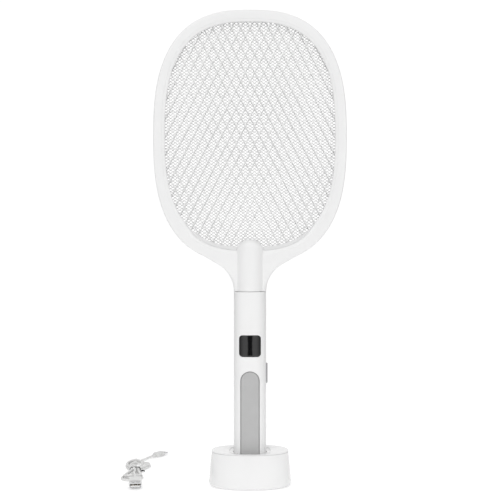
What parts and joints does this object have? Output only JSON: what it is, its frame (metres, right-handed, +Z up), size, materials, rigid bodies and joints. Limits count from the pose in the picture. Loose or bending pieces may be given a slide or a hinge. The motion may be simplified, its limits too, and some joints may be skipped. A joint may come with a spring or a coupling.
{
  "type": "electric fly swatter",
  "caption": "Cordless electric fly swatter with an oval mesh head and slim handle, standing in its oval charging dock, with its charging cable coiled beside it.",
  "frame": {"origin": "centre of the swatter-and-dock bounding box's underside, on the surface the dock stands on", "axes": "+Z up along the handle, the swatter's front and its display face -Y, +X to the right seen from the front"},
  "size_m": [0.2488, 0.1763, 0.5104],
  "materials": {
    "housing_white": "semi-gloss moulded ABS with a fine satin grain",
    "dock_white": "semi-gloss moulded ABS",
    "window_black": "polished smoked acrylic",
    "grip_grey": "matt soft-touch elastomer",
    "button_grey": "matt soft-touch elastomer",
    "guard_metal": "satin, lightly brushed wire",
    "grid_metal": "satin wire",
    "insulator": "plain moulded nylon",
    "screw_steel": "zinc-plated",
    "board_green": "solder-masked glass-epoxy board",
    "display_face": "dark segment block on its board",
    "switch_black": "moulded switch case",
    "ferrite": "taped winding on a ferrite core",
    "capacitor_red": "dipped film capacitor",
    "cell_wrap": "heat-shrink sleeve",
    "wire_red": "PVC insulation",
    "wire_black": "PVC insulation",
    "gold_contact": "gold-plated",
    "base_grey": "fine spark-eroded texture",
    "foot_rubber": "matt rubber",
    "bright_steel": "nickel-plated stamping",
    "cable_white": "soft satin PVC",
    "tie_black": "paper-covered wire"
  },
  "bodies": {
    "dock": {"dock_body": "dock_white", "dock_base_plate": "base_grey", "rubber_feet": "foot_rubber", "dock_screws": "screw_steel", "dock_board": "board_green", "charge_socket": "bright_steel", "pin_sleeves": "gold_contact", "pin_spring_left": "bright_steel", "pin_spring_right": "bright_steel", "usb_cable_lead": "cable_white", "usb_cable_hank": "cable_white", "usb_cable_tail": "cable_white", "twist_tie": "tie_black", "micro_plug_body": "cable_white", "micro_plug_shell": "bright_steel", "usb_plug_body": "cable_white", "usb_plug_shell": "bright_steel", "usb_plug_insert": "insulator"},
    "swatter": {"head_front_frame": "housing_white", "head_back_frame": "housing_white", "front_guard_mesh": "guard_metal", "rear_guard_mesh": "guard_metal", "high_voltage_grid": "grid_metal", "front_spacer_ring": "insulator", "rear_spacer_ring": "insulator", "head_screws": "screw_steel", "neck_coupler": "insulator", "neck_screws": "screw_steel", "grid_lead": "wire_red", "guard_lead": "wire_black", "handle_front_shell": "housing_white", "handle_back_shell": "housing_white", "handle_screws": "screw_steel", "grip_strip": "grip_grey", "display_window": "window_black", "display_board": "display_face", "tact_switch": "switch_black", "main_board": "board_green", "board_screws": "screw_steel", "step_up_transformer": "ferrite", "storage_capacitor": "capacitor_red", "battery_cell": "cell_wrap", "battery_leads": "wire_red", "handle_end_cap": "housing_white", "charge_pads": "gold_contact", "charge_leads": "wire_red"},
    "left_pin": {"contact_pin_left": "gold_contact"},
    "right_pin": {"contact_pin_right": "gold_contact"},
    "button": {"side_button": "button_grey"}
  },
  "joints": [
    {"name": "lift_out", "type": "slide", "parent": "dock", "child": "swatter", "axis": [0, 0, 1], "range_m": [0, 0.045]},
    {"name": "button_press", "type": "slide", "parent": "swatter", "child": "button", "axis": [-1, 0, 0], "range_m": [0, 0.0011], "stiffness_N_per_m": 900, "springref_m": -0.001},
    {"name": "left_pin_slide", "type": "slide", "parent": "dock", "child": "left_pin", "axis": [0, 0, 1], "range_m": [-0.001, 0], "stiffness_N_per_m": 300, "springref_m": 0.0005, "deforming": ["pin_spring_left"]},
    {"name": "right_pin_slide", "type": "slide", "parent": "dock", "child": "right_pin", "axis": [0, 0, 1], "range_m": [-0.001, 0], "stiffness_N_per_m": 300, "springref_m": 0.0005, "deforming": ["pin_spring_right"]}
  ]
}
